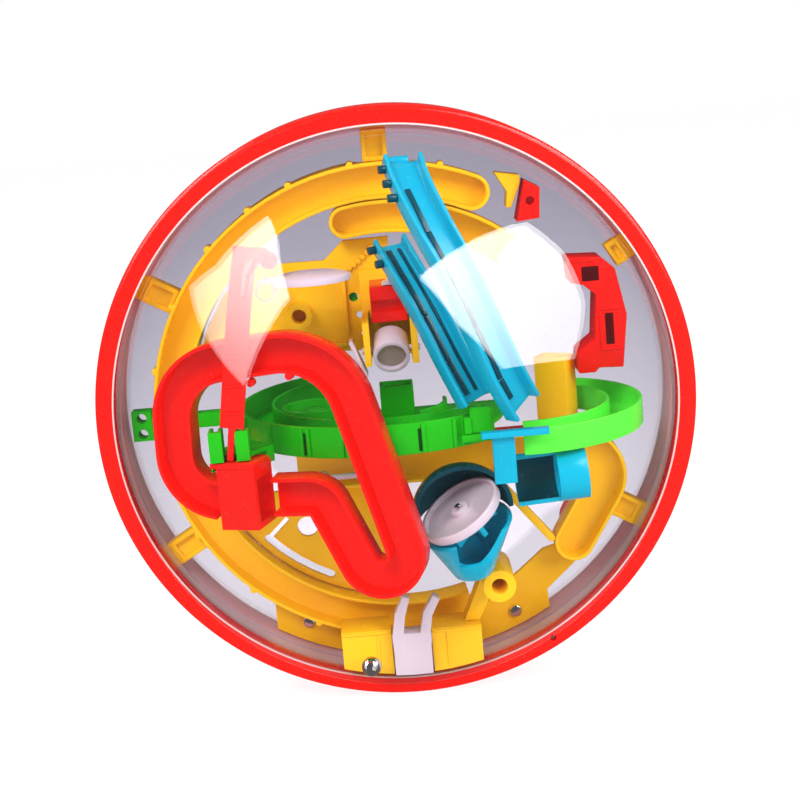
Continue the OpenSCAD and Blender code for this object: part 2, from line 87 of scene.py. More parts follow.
def placeCamera(s):
    bpy.ops.object.camera_add()
    camera = bpy.context.object
    elevation = math.radians(s["elevation"])
    direction = Vector((0, -math.cos(elevation), math.sin(elevation)))
    turn = direction.to_track_quat("Z", "Y").to_matrix().to_4x4()
    roll = Matrix.Rotation(math.radians(-s["roll"]), 4, "Z")
    camera.matrix_world = Matrix.Translation(direction * s["distance"]) @ turn @ roll
    camera.data.sensor_width = 36
    camera.data.lens = 36 * s["distance"] / s["metresAcross"]
    camera.data.shift_x = s["aimRight"] / s["metresAcross"]
    camera.data.shift_y = s["aimDown"] / s["metresAcross"]
    camera.data.clip_start = 0.01
    bpy.context.scene.camera = camera


def deselectAll():
    if bpy.context.object and bpy.context.object.mode != "OBJECT":
        bpy.ops.object.mode_set(mode="OBJECT")
    bpy.ops.object.select_all(action="DESELECT")


def editMode(kind="VERT"):
    bpy.ops.object.mode_set(mode="EDIT")
    bpy.ops.mesh.select_mode(type=kind)


def objectMode():
    bpy.ops.object.mode_set(mode="OBJECT")


def selectWhere(piece, test, what="VERT"):
    # selects by place in object mode, then goes back to edit mode
    editMode(what)
    bpy.ops.mesh.select_all(action="DESELECT")
    objectMode()
    mesh = piece.data
    if what == "VERT":
        for vertex in mesh.vertices:
            vertex.select = bool(test(vertex.co))
    elif what == "EDGE":
        for edge in mesh.edges:
            ends = [mesh.vertices[i].co for i in edge.vertices]
            edge.select = bool(test(ends[0], ends[1]))
    else:
        for face in mesh.polygons:
            face.select = bool(test(face.center, face.normal))
    editMode(what)


def settle(piece, scale=(1, 1, 1), turn=(0, 0, 0), move=(0, 0, 0)):
    # puts the shape in its place and leaves the object at the origin
    deselectAll()
    piece.select_set(True)
    bpy.context.view_layer.objects.active = piece
    piece.scale = scale
    piece.rotation_euler = [math.radians(a) for a in turn]
    piece.location = Vector(move)
    bpy.ops.object.transform_apply(location=True, rotation=True, scale=True)
    if scale[0] * scale[1] * scale[2] < 0:
        recalcNormals(piece)


def recalcNormals(piece):
    bpy.context.view_layer.objects.active = piece
    editMode()
    bpy.ops.mesh.select_all(action="SELECT")
    bpy.ops.mesh.normals_make_consistent(inside=False)
    objectMode()


def mergeDoubles(piece, distance=near):
    bpy.context.view_layer.objects.active = piece
    editMode()
    bpy.ops.mesh.select_all(action="SELECT")
    bpy.ops.mesh.remove_doubles(threshold=distance)
    objectMode()


def roundEdges(piece, width, steps=2, angle=35):
    bevel = piece.modifiers.new("edges", "BEVEL")
    bevel.width = width
    bevel.segments = steps
    bevel.limit_method = "ANGLE"
    bevel.angle_limit = math.radians(angle)
    bevel.use_clamp_overlap = True
    bevel.miter_outer = "MITER_ARC"
    deselectAll()
    piece.select_set(True)
    bpy.context.view_layer.objects.active = piece
    bpy.ops.object.modifier_apply(modifier=bevel.name)


def smoothByAngle(piece, angle=35):
    deselectAll()
    piece.select_set(True)
    bpy.context.view_layer.objects.active = piece
    bpy.ops.object.shade_smooth_by_angle(angle=math.radians(angle))


def join(parts, name):
    deselectAll()
    for part in parts:
        part.select_set(True)
    bpy.context.view_layer.objects.active = parts[0]
    if len(parts) > 1:
        bpy.ops.object.join()
    piece = bpy.context.object
    piece.name = name
    return piece


def fit(piece, name, finish, body, nodes=()):
    # names a finished piece and ties it to the frame
    piece.name = name
    piece.data.name = name
    piece.data.materials.clear()
    piece.data.materials.append(finish)
    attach(piece, body)
    if nodes:
        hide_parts(*nodes)
    return piece


class Wire:
    # one socket, with arithmetic that adds Math nodes
    def __init__(self, maker, socket):
        self.maker = maker
        self.socket = socket

    def maths(self, operation, first, second):
        return self.maker.add("ShaderNodeMath", {"operation": operation}, {0: first, 1: second})

    def __add__(self, other):
        return self.maths("ADD", self, other)

    def __radd__(self, other):
        return self.maths("ADD", other, self)

    def __sub__(self, other):
        return self.maths("SUBTRACT", self, other)

    def __rsub__(self, other):
        return self.maths("SUBTRACT", other, self)

    def __mul__(self, other):
        return self.maths("MULTIPLY", self, other)

    def __rmul__(self, other):
        return self.maths("MULTIPLY", other, self)

    def __truediv__(self, other):
        return self.maths("DIVIDE", self, other)

    def __pow__(self, other):
        return self.maths("POWER", self, other)


class MaterialMaker:
    def __init__(self, name):
        self.material = bpy.data.materials.new(name)
        self.material.use_nodes = True
        self.tree = self.material.node_tree
        self.tree.nodes.clear()
        self.output = self.tree.nodes.new("ShaderNodeOutputMaterial")

    def add(self, kind, settings=None, sockets=None, take=0):
        node = self.tree.nodes.new(kind)
        for key, value in (settings or {}).items():
            if key == "stops":
                self.setStops(node.color_ramp, value)
            else:
                setattr(node, key, value)
        for key, value in (sockets or {}).items():
            self.feed(node.inputs[key], value)
        return Wire(self, node.outputs[take])

    def feed(self, socket, value):
        if isinstance(value, Wire):
            self.tree.links.new(value.socket, socket)
        else:
            socket.default_value = value

    def setStops(self, ramp, stops):
        while len(ramp.elements) < len(stops):
            ramp.elements.new(0.5)
        for element, (place, colour) in zip(ramp.elements, stops):
            element.position = place
            element.color = colour

    def place(self):
        return self.add("ShaderNodeTexCoord", take="Object")

    def axis(self, letter):
        return self.add("ShaderNodeSeparateXYZ", {}, {0: self.place()}, take=letter)

    def noise(self, scale, detail=3.0, roughness=0.5):
        return self.add(
            "ShaderNodeTexNoise",
            {},
            {"Vector": self.place(), "Scale": scale, "Detail": detail, "Roughness": roughness},
        )

    def between(self, value, low, high):
        # 0 below low, 1 above high, smooth in between
        return self.add(
            "ShaderNodeMapRange",
            {"interpolation_type": "SMOOTHSTEP"},
            {"Value": value, "From Min": low, "From Max": high},
        )

    def mixColour(self, factor, first, second):
        return self.add(
            "ShaderNodeMix", {"data_type": "RGBA"}, {0: factor, 6: first, 7: second}, take=2
        )

    def bump(self, height, strength, distance):
        return self.add(
            "ShaderNodeBump", {}, {"Height": height, "Strength": strength, "Distance": distance}
        )

    def shader(self, colour, roughness, bump=None, **constants):
        sockets = {"Base Color": colour, "Roughness": roughness}
        if bump:
            sockets["Normal"] = bump
        for key, value in constants.items():
            sockets[key.replace("_", " ")] = value
        return self.add("ShaderNodeBsdfPrincipled", {}, sockets)

    def finish(self, shader):
        self.tree.links.new(shader.socket, self.output.inputs["Surface"])
        return self.material


plasticColours = {
    "redPlastic": {"face": (0.84, 0.008, 0.004, 1), "deep": (0.60, 0.003, 0.002, 1)},
    "yellowPlastic": {"face": (0.98, 0.56, 0.012, 1), "deep": (0.88, 0.35, 0.004, 1)},
    # painted shade in the openings of the hook
    "darkRedPlastic": {"face": (0.075, 0.002, 0.003, 1), "deep": (0.04, 0.001, 0.001, 1)},
    # painted shade inside the slots of the deck
    "darkGreenPlastic": {"face": (0.004, 0.05, 0.003, 1), "deep": (0.002, 0.03, 0.002, 1)},
    "greenPlastic": {"face": (0.014, 0.46, 0.006, 1), "deep": (0.006, 0.28, 0.003, 1)},
    "limePlastic": {"face": (0.11, 0.92, 0.055, 1), "deep": (0.04, 0.45, 0.02, 1)},
    "tealPlastic": {"face": (0.002, 0.40, 0.58, 1), "deep": (0.001, 0.24, 0.36, 1)},
    # dark teal, also used as painted shade in the ramps' channels and inside the tube
    "darkTealPlastic": {"face": (0.003, 0.060, 0.085, 1), "deep": (0.001, 0.02, 0.03, 1)},
    "whitePlastic": {"face": (0.64, 0.54, 0.61, 1), "deep": (0.52, 0.43, 0.49, 1)},
    # painted shade inside the mouth of the cup
    "beigePlastic": {"face": (0.33, 0.27, 0.22, 1), "deep": (0.26, 0.21, 0.17, 1)},
    # painted light: the glint and the refracted red of the clear dome's edge
    "paleBead": {"face": (0.80, 0.55, 0.55, 1), "deep": (0.66, 0.40, 0.40, 1)},
}

plasticSettings = {
    "roughness": 0.22,
    "cloudScale": 24.0,  # slow swirls of colour from the moulding
    "cloudAmount": 0.30,
    "grainScale": 2600.0,  # fine skin of the moulded surface
    "grainDepth": 0.00002,
    "scuffScale": 420.0,
}


def mouldedPlastic(name, colours, s):
    maker = MaterialMaker(name)
    cloud = maker.between(maker.noise(s["cloudScale"], 4.0), 0.35, 0.8)
    scuff = maker.between(maker.noise(s["scuffScale"], 4.0, 0.6), 0.4, 0.8)
    colour = maker.mixColour(cloud * s["cloudAmount"], colours["face"], colours["deep"])
    roughness = s["roughness"] + scuff * 0.08
    skin = maker.bump(maker.noise(s["grainScale"], 2.0), 0.15, s["grainDepth"])
    shader = maker.shader(colour, roughness, skin, Specular_IOR_Level=0.3)
    return maker.finish(shader)


# colours let through at the top and at the bottom; the rear dome is darker toward the top
clearTints = {
    "frontClear": ((0.975, 0.970, 0.985, 1), (0.99, 0.985, 0.99, 1)),
    "rearClear": ((0.66, 0.64, 0.70, 1), (0.87, 0.85, 0.89, 1)),
}

clearSettings = {
    "tintLow": -80.0 * mm,  # heights between which one tint goes over into the other
    "tintHigh": 75.0 * mm,
    "scratchScale": 900.0,
    "scratchLow": 0.62,
    "scratchHigh": 0.8,
    "roughness": 0.02,
    "scratchRoughness": 0.05,
    "mirror": 0.035,  # share of reflection seen straight on
    "grazing": 0.16,  # what is added to it at the outline
    "grazingPower": 5.0,
    "hazeStart": 15.0 * mm,  # distances from the plane between the domes
    "hazeFull": 6.0 * mm,
    "hazeMost": 0.50,
    # pale pink of the haze, painted as light over the shaded inside of the rim
    "hazeColour": (0.80, 0.62, 0.68, 1),
    "hazeRoughness": 0.45,
}


def clearPlastic(name, top, bottom, s):
    # see-through shell: more mirror toward its outline, and hazier by the flange, where a pale pink is
    # painted as light over the shaded inside of the rim
    maker = MaterialMaker(name)
    tint = maker.mixColour(maker.between(maker.axis("Z"), s["tintLow"], s["tintHigh"]), bottom, top)
    through = maker.add("ShaderNodeBsdfTransparent", {}, {"Color": tint})
    scratch = maker.between(maker.noise(s["scratchScale"], 6.0, 0.7), s["scratchLow"], s["scratchHigh"])
    roughness = s["roughness"] + scratch * s["scratchRoughness"]
    gloss = maker.shader((1.0, 1.0, 1.0, 1), roughness, Metallic=1.0)
    facing = maker.add("ShaderNodeLayerWeight", {}, {"Blend": 0.5}, take="Facing")
    edge = s["mirror"] + facing ** s["grazingPower"] * s["grazing"]
    shell = maker.add("ShaderNodeMixShader", {}, {0: edge, 1: through, 2: gloss})
    # haze by the flange, which also paints pale pink light over the shaded inside of the rim
    depth = maker.axis("Y")
    hazeAndPaintedLight = maker.between(depth * depth, s["hazeStart"] ** 2, s["hazeFull"] ** 2) * s["hazeMost"]
    frostAndPaintedLight = maker.shader(s["hazeColour"], s["hazeRoughness"])
    return maker.finish(maker.add("ShaderNodeMixShader", {}, {0: hazeAndPaintedLight, 1: shell, 2: frostAndPaintedLight}))


def polishedSteel(name):
    maker = MaterialMaker(name)
    smear = maker.between(maker.noise(350.0, 5.0, 0.6), 0.4, 0.75)
    colour = maker.mixColour(smear, (0.80, 0.80, 0.83, 1), (0.62, 0.61, 0.63, 1))
    shader = maker.shader(colour, 0.08 + smear * 0.12, Metallic=1.0)
    return maker.finish(shader)


def paleFloor(name, glow):
    maker = MaterialMaker(name)
    dust = maker.between(maker.noise(14.0, 3.0), 0.3, 0.8)
    colour = maker.mixColour(dust, (0.20, 0.20, 0.20, 1), (0.18, 0.18, 0.185, 1))
    shader = maker.shader(colour, 0.6 + dust * 0.1, Emission_Color=(1, 1, 1, 1), Emission_Strength=glow)
    return maker.finish(shader)


placeCamera(cameraSettings)
finishes = {name: mouldedPlastic(name, c, plasticSettings) for name, c in plasticColours.items()}
for name, (top, bottom) in clearTints.items():
    finishes[name] = clearPlastic(name, top, bottom, clearSettings)
finishes["steel"] = polishedSteel("steel")
print("materials made")


slotFinishes = {
    "red_plastic": "redPlastic",
    "yellow_plastic": "yellowPlastic",
    "green_plastic": "greenPlastic",
    "lime_plastic": "limePlastic",
    "teal_plastic": "tealPlastic",
    "dark_teal_plastic": "darkTealPlastic",
    "white_plastic": "whitePlastic",
    "steel": "steel",
}
nodeSlots = {part["node"]: part["material_slot"] for part in frame["record"]["subparts"]}
nodeBodies = {n: b for b, ns in frame["record"]["behaviour"]["bodies"].items() for n in ns}


def camelCase(node):
    words = node.split("_")
    return words[0] + "".join(word.capitalize() for word in words[1:])


copySettings = {"edge": 0.3 * mm, "merge": 0.002 * mm, "flat": 0.6}


def roundedCopy(node, s):
    # a designed part with doubled points and flat seams gone and its edges rounded
    deselectAll()
    source = frame["nodes"][node]
    source.select_set(True)
    bpy.context.view_layer.objects.active = source
    bpy.ops.object.duplicate()
    piece = bpy.context.object
    del piece["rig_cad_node"]
    mergeDoubles(piece, s["merge"])
    editMode()
    bpy.ops.mesh.select_all(action="SELECT")
    bpy.ops.mesh.dissolve_limited(angle_limit=math.radians(s["flat"]))
    objectMode()
    roundEdges(piece, s["edge"])
    smoothByAngle(piece)
    slot = nodeSlots[node]
    return fit(piece, camelCase(node), finishes[slotFinishes[slot]], nodeBodies[node], [node])


domeSettings = {
    "radius": 90.2 * mm,
    "wall": 1.8 * mm,
    "gap": 0.1 * mm,  # to the plane between the two domes
    "flangeOut": 1.6 * mm,
    "flangeThick": 2.4 * mm,
    "around": 160,
    "rings": 96,
}


def makeDome(s, name, node, finish, side):
    # a sphere cut in half, its edge drawn out to a flange, then given its wall
    deselectAll()
    bpy.ops.mesh.primitive_uv_sphere_add(
        segments=s["around"], ring_count=s["rings"], radius=s["radius"], rotation=(math.pi / 2, 0, 0)
    )
    piece = bpy.context.object
    bpy.ops.object.transform_apply(rotation=True)
    wallEnd = s["gap"] + s["flangeThick"]
    editMode()
    bpy.ops.mesh.select_all(action="SELECT")
    bpy.ops.mesh.bisect(plane_co=(0, -wallEnd, 0), plane_no=(0, 1, 0), clear_outer=True)
    bpy.ops.mesh.select_all(action="DESELECT")
    objectMode()
    selectWhere(piece, lambda a, b: min(a.y, b.y) > -wallEnd - near, "EDGE")
    grow = (s["radius"] + s["flangeOut"]) / math.sqrt(s["radius"] ** 2 - wallEnd**2)
    bpy.ops.mesh.extrude_region_move()
    bpy.ops.transform.resize(value=(grow, 1, grow), center_override=(0, 0, 0))
    bpy.ops.mesh.extrude_region_move(TRANSFORM_OT_translate={"value": (0, s["flangeThick"], 0)})
    objectMode()
    recalcNormals(piece)
    wall = piece.modifiers.new("wall", "SOLIDIFY")
    wall.thickness = s["wall"]
    wall.offset = -1
    bpy.ops.object.modifier_apply(modifier=wall.name)
    settle(piece, scale=(1, side, 1))
    smoothByAngle(piece, 30)
    return fit(piece, name, finish, "globe", [node])


rimSettings = {
    "outer": 95.0 * mm,
    "lip": 89.5 * mm,
    "throat": 90.6 * mm,
    "groove": 92.1 * mm,
    "halfWidth": 14.0 * mm,
    "throatEnd": 6.0 * mm,
    "grooveEnd": 2.6 * mm,
    "gap": 0.1 * mm,
    "roundOuter": 2.1 * mm,
    "roundLip": 0.5 * mm,
    "steps": 240,
}


def makeRim(s, name, node, side):
    # a flat section, cut to its stepped shape and rounded, then spun into a ring
    deselectAll()
    width = s["outer"] - s["lip"]
    height = s["halfWidth"] - s["gap"]
    bpy.ops.mesh.primitive_plane_add(size=1, location=(s["lip"] + width / 2, -s["gap"] - height / 2, 0))
    piece = bpy.context.object
    piece.scale = (width, height, 1)
    bpy.ops.object.transform_apply(location=True, scale=True)
    editMode()
    for place, normal in (
        ((s["throat"], 0, 0), (1, 0, 0)),
        ((s["groove"], 0, 0), (1, 0, 0)),
        ((0, -s["throatEnd"], 0), (0, 1, 0)),
        ((0, -s["grooveEnd"], 0), (0, 1, 0)),
    ):
        bpy.ops.mesh.select_all(action="SELECT")
        bpy.ops.mesh.bisect(plane_co=place, plane_no=normal)
    objectMode()
    selectWhere(
        piece,
        lambda c, n: (c.x < s["throat"] and c.y > -s["throatEnd"])
        or (c.x < s["groove"] and c.y > -s["grooveEnd"]),
        "FACE",
    )
    bpy.ops.mesh.delete(type="FACE")
    bpy.ops.mesh.select_all(action="SELECT")
    bpy.ops.mesh.dissolve_limited(angle_limit=math.radians(1))
    objectMode()
    front = -s["halfWidth"] + near
    selectWhere(piece, lambda co: co.y < front and co.x > s["outer"] - near)
    bpy.ops.mesh.bevel(offset=s["roundOuter"], segments=7, affect="VERTICES")
    objectMode()
    selectWhere(piece, lambda co: co.y < front and co.x < s["lip"] + near)
    bpy.ops.mesh.bevel(offset=s["roundLip"], segments=3, affect="VERTICES")
    bpy.ops.mesh.select_all(action="SELECT")
    bpy.ops.mesh.delete(type="ONLY_FACE")
    bpy.ops.mesh.select_all(action="SELECT")
    bpy.ops.mesh.spin(steps=s["steps"], angle=2 * math.pi, center=(0, 0, 0), axis=(0, 1, 0))
    objectMode()
    mergeDoubles(piece)
    recalcNormals(piece)
    settle(piece, scale=(1, side, 1))
    smoothByAngle(piece, 30)
    return fit(piece, name, finishes["redPlastic"], "globe", [node])


trackCommon = {"wall": 1.2 * mm, "floor": 1.5 * mm, "edge": 0.38 * mm, "bendStep": 4.0, "spare": 1.0 * mm}

ringRadius = 71.75 * mm
backPlane = 3.0 * mm
rearPlane = 3.3 * mm
deckMiddle = (-2.0 * mm, 1.5 * mm, -6.5 * mm)
sideLoopMiddle = (40.0 * mm, -8.0 * mm, -10.0 * mm)


def arcStart(radius, angle, sweep):
    # place and heading at the start of an arc about the middle
    turn = -90 if sweep < 0 else 90
    a = math.radians(angle)
    return (radius * math.cos(a), radius * math.sin(a), angle + turn)


def moved(place, move):
    # a move is (length, 0) or (bend radius, bend angle)
    x, y, heading = place
    a = math.radians(heading)
    if move[1] == 0:
        return (x + move[0] * math.cos(a), y + move[0] * math.sin(a), heading)
    side = 1 if move[1] > 0 else -1
    b = a + math.radians(move[1])
    dx = side * move[0] * (math.sin(b) - math.sin(a))
    dy = side * move[0] * (math.cos(a) - math.cos(b))
    return (x + dx, y + dy, heading + move[1])


def startEdge(place, width):
    # a plane cut down to the one edge that is swept
    deselectAll()
    bpy.ops.mesh.primitive_plane_add(size=1)
    piece = bpy.context.object
    x, y, heading = place
    piece.scale = (width, width, 1)
    piece.rotation_euler = (0, 0, math.radians(heading))
    piece.location = (x, y, 0)
    bpy.ops.object.transform_apply(location=True, rotation=True, scale=True)
    ahead = Vector((math.cos(math.radians(heading)), math.sin(math.radians(heading)), 0))
    middle = Vector((x, y, 0))
    selectWhere(piece, lambda co: (co - middle).dot(ahead) < 0)
    bpy.ops.mesh.delete(type="VERT")
    bpy.ops.mesh.select_all(action="SELECT")
    bpy.ops.transform.translate(value=-ahead * (width / 2))
    return piece


def sweepMoves(place, moves, bendStep):
    for move in moves:
        x, y, heading = place
        a = math.radians(heading)
        if move[1] == 0:
            step = (move[0] * math.cos(a), move[0] * math.sin(a), 0)
            bpy.ops.mesh.extrude_region_move(TRANSFORM_OT_translate={"value": step})
        else:
            side = 1 if move[1] > 0 else -1
            centre = (x - side * move[0] * math.sin(a), y + side * move[0] * math.cos(a), 0)
            steps = max(2, math.ceil(abs(move[1]) / bendStep))
            bpy.ops.mesh.spin(
                steps=steps, angle=math.radians(-move[1]), center=centre, axis=(0, 0, 1)
            )
        place = moved(place, move)
    return place


def roundEnd(piece, place, width, backwards):
    # half a disc on the end of the band, spun from half of its end edge
    x, y, heading = place
    a = math.radians(heading)
    across = Vector((-math.sin(a), math.cos(a), 0))
    middle = Vector((x, y, 0))
    objectMode()
    slack = width * 0.01
    selectWhere(
        piece,
        lambda p, q: abs((p - middle).length - width / 2) < slack
        and abs((q - middle).length - width / 2) < slack
        and (p - q).length > width - 2 * slack,
        "EDGE",
    )
    bpy.ops.mesh.subdivide(number_cuts=1)
    objectMode()
    mesh = piece.data
    chosen = [e for e in mesh.edges if e.select]
    for vertex in mesh.vertices:
        vertex.select = False
    for edge in mesh.edges:
        edge.select = False
    for edge in chosen:
        edge.select = sum((mesh.vertices[i].co - middle).dot(across) for i in edge.vertices) > 0
    editMode("EDGE")
    turn = -math.pi if backwards else math.pi
    bpy.ops.mesh.spin(steps=16, angle=turn, center=middle, axis=(0, 0, 1))


def cutEnd(piece, place, width, backwards):
    # opens the end of a track: cuts its closing wall off
    x, y, heading = place
    a = math.radians(heading)
    ahead = Vector((math.cos(a), math.sin(a), 0)) * (-1 if backwards else 1)
    middle = Vector((x, y, 0))
    reach = width * 1.1
    flat = [Vector((vertex.co.x, vertex.co.y, 0)) for vertex in piece.data.vertices]
    editMode("FACE")
    bpy.ops.mesh.select_all(action="DESELECT")
    objectMode()
    for face in piece.data.polygons:
        face.select = any((flat[i] - middle).length < reach for i in face.vertices)
    editMode("FACE")
    bpy.ops.mesh.bisect(plane_co=middle, plane_no=ahead, use_fill=True, clear_outer=True)
    objectMode()


def makeTrack(s):
    common = trackCommon
    extra = common["wall"] + common["spare"]
    place = s["start"]
    moves = list(s["moves"])
    first = place
    if not s["roundStart"]:
        first = moved(place, (-extra, 0))
        moves.insert(0, (extra, 0))
    end = place
    for move in s["moves"]:
        end = moved(end, move)
    last = end
    if not s["roundEnd"]:
        last = moved(end, (extra, 0))
        moves.append((extra, 0))
    piece = startEdge(first, s["width"])
    sweepMoves(first, moves, common["bendStep"])
    if s["roundStart"]:
        roundEnd(piece, first, s["width"], True)
    if s["roundEnd"]:
        roundEnd(piece, last, s["width"], False)
    objectMode()
    mergeDoubles(piece)
    recalcFlat(piece)
    editMode("FACE")
    bpy.ops.mesh.select_all(action="SELECT")
    bpy.ops.mesh.extrude_region_move(TRANSFORM_OT_translate={"value": (0, 0, s["depth"])})
    bpy.ops.mesh.inset(thickness=common["wall"], use_boundary=True, use_even_offset=True)
    drop = common["floor"] - s["depth"]
    bpy.ops.mesh.extrude_region_move(TRANSFORM_OT_translate={"value": (0, 0, drop)})
    objectMode()
    if not s["roundStart"]:
        cutEnd(piece, place, s["width"], True)
    if not s["roundEnd"]:
        cutEnd(piece, end, s["width"], False)
    recalcNormals(piece)
    roundEdges(piece, common["edge"])
    settle(piece, s.get("scale", (1, 1, 1)), s.get("turn", (0, 0, 0)), s["move"])
    smoothByAngle(piece, 40)
    slot = nodeSlots[s["node"]]
    finish = finishes[slotFinishes[slot]]
    return fit(piece, camelCase(s["node"]), finish, "globe", [s["node"]])


def recalcFlat(piece):
    # a flat sheet faces up before it is raised
    recalcNormals(piece)
    if piece.data.polygons[0].normal.z < 0:
        bpy.context.view_layer.objects.active = piece
        editMode()
        bpy.ops.mesh.select_all(action="SELECT")
        bpy.ops.mesh.flip_normals()
        objectMode()


def bent(radius, angle):
    return (radius * mm, angle)


def straight(length):
    return (length * mm, 0)


snakeTurn = -12.0
snakeBack = -49.1 * mm
standUp = (90, 0, 0)
standUpTurned = (90, 0, snakeTurn)
snakeMove = Matrix.Rotation(math.radians(snakeTurn), 3, "Z") @ Vector((0, snakeBack, 0))

trackSettings = [
    {
        "node": "main_ring_track",
        "start": arcStart(ringRadius, 175.5, -1),
        "moves": [(ringRadius, -109.5)],
        "width": 11.5 * mm,
        "depth": 9 * mm,
        "roundStart": False,
        "roundEnd": True,
        "turn": standUp,
        "move": (0, backPlane, 0),
    },
    {
        "node": "upper_inner_track",
        "start": arcStart(60.5 * mm, 100.5, -1),
        "moves": [bent(60.5, -50.5)],
        "width": 10.2 * mm,
        "depth": 9 * mm,
        "roundStart": True,
        "roundEnd": False,
        "turn": standUp,
        "move": (0, backPlane, 0),
    },
    {
        "node": "lower_ring_track",
        "start": arcStart(ringRadius, 184.5, 1),
        "moves": [(ringRadius, 101)],
        "width": 11.5 * mm,
        "depth": 9 * mm,
        "roundStart": False,
        "roundEnd": False,
        "turn": standUp,
        "move": (0, backPlane, 0),
    },
    {
        "node": "hook_track",
        "start": (-34 * mm, -19.5 * mm, 0),
        "moves": [straight(90.5), bent(9.5, -122), straight(19.5)],
        "width": 13 * mm,
        "depth": 9 * mm,
        "roundStart": False,
        "roundEnd": True,
        "turn": standUp,
        "move": (0, backPlane, 0),
    },
    {
        "node": "snake_track",
        "start": (-27.6 * mm, -15.1 * mm, 0),
        "moves": [
            straight(10.5),
            bent(6.5, -66),
            straight(19.5),
            bent(7.5, 171.5),
            straight(46),
            bent(21, 80.5),
            straight(16.5),
            bent(17.5, 82.5),
            straight(10.5),
            bent(14, 77.5),
            straight(2),
        ],
        "width": 11.6 * mm,
        "depth": 8.5 * mm,
        "roundStart": False,
        "roundEnd": False,
        "turn": standUpTurned,
        "move": snakeMove,
    },
    {
        "node": "green_deck",
        "start": arcStart(42.75 * mm, -50, -1),
        "moves": [bent(42.75, -185)],
        "width": 11.5 * mm,
        "depth": 9.5 * mm,
        "roundStart": False,
        "roundEnd": False,
        "move": deckMiddle,
    },
    {
        "node": "side_loop",
        "start": arcStart(32.25 * mm, -95, 1),
        "moves": [bent(32.25, 155)],
        "width": 11.5 * mm,
        "depth": 8 * mm,
        "roundStart": False,
        "roundEnd": False,
        "move": sideLoopMiddle,
    },
    {
        "node": "rear_arc_track",
        "start": arcStart(ringRadius, 172, -1),
        "moves": [(ringRadius, -76)],
        "width": 11.5 * mm,
        "depth": 9 * mm,
        "roundStart": True,
        "roundEnd": True,
        "scale": (1, 1, -1),
        "turn": standUp,
        "move": (0, rearPlane, 0),
    },
    {
        "node": "rear_shelf_track",
        "start": (-53 * mm, 27 * mm, 0),
        "moves": [straight(26), bent(14, 38), straight(4)],
        "width": 11.5 * mm,
        "depth": 9 * mm,
        "roundStart": True,
        "roundEnd": True,
        "scale": (1, 1, -1),
        "turn": standUp,
        "move": (0, rearPlane, 0),
    },
    {
        "node": "rear_run_track",
        "start": (-28 * mm, -20 * mm, 0),
        "moves": [straight(84), bent(9.5, -120), straight(14)],
        "width": 11.5 * mm,
        "depth": 9 * mm,
        "roundStart": True,
        "roundEnd": True,
        "scale": (1, 1, -1),
        "turn": standUp,
        "move": (0, rearPlane, 0),
    },
]


def block(size, place, turn=(0, 0, 0), edge=0.3 * mm):
    # a bevelled bar or lug, turned about the middle of the sphere after it is put in place
    deselectAll()
    bpy.ops.mesh.primitive_cube_add(size=1)
    part = bpy.context.object
    part.scale = size
    bpy.ops.object.transform_apply(scale=True)
    editMode("EDGE")
    bpy.ops.mesh.select_all(action="SELECT")
    bpy.ops.mesh.bevel(offset=min(edge, min(size) * 0.3), segments=2)
    objectMode()
    part.location = place
    bpy.ops.object.transform_apply(location=True)
    part.rotation_euler = [math.radians(a) for a in turn]
    bpy.ops.object.transform_apply(rotation=True)
    return part


def stud(radius, depth, place, turn=(90, 0, 0), around=24, edge=0.25 * mm):
    # a short round stud with a rounded top edge
    deselectAll()
    bpy.ops.mesh.primitive_cylinder_add(vertices=around, radius=radius, depth=depth)
    part = bpy.context.object
    editMode("EDGE")
    bpy.ops.mesh.select_all(action="DESELECT")
    objectMode()
    selectWhere(part, lambda a, b: abs(a.z - b.z) < depth * 0.1, "EDGE")
    bpy.ops.mesh.bevel(offset=min(edge, radius * 0.3), segments=2)
    objectMode()
    part.rotation_euler = [math.radians(a) for a in turn]
    part.location = place
    bpy.ops.object.transform_apply(location=True, rotation=True)
    return part


def finishDetail(parts, name, finish, body="globe", nodes=()):
    piece = join(parts, name)
    smoothByAngle(piece, 40)
    return fit(piece, name, finishes[finish], body, nodes)


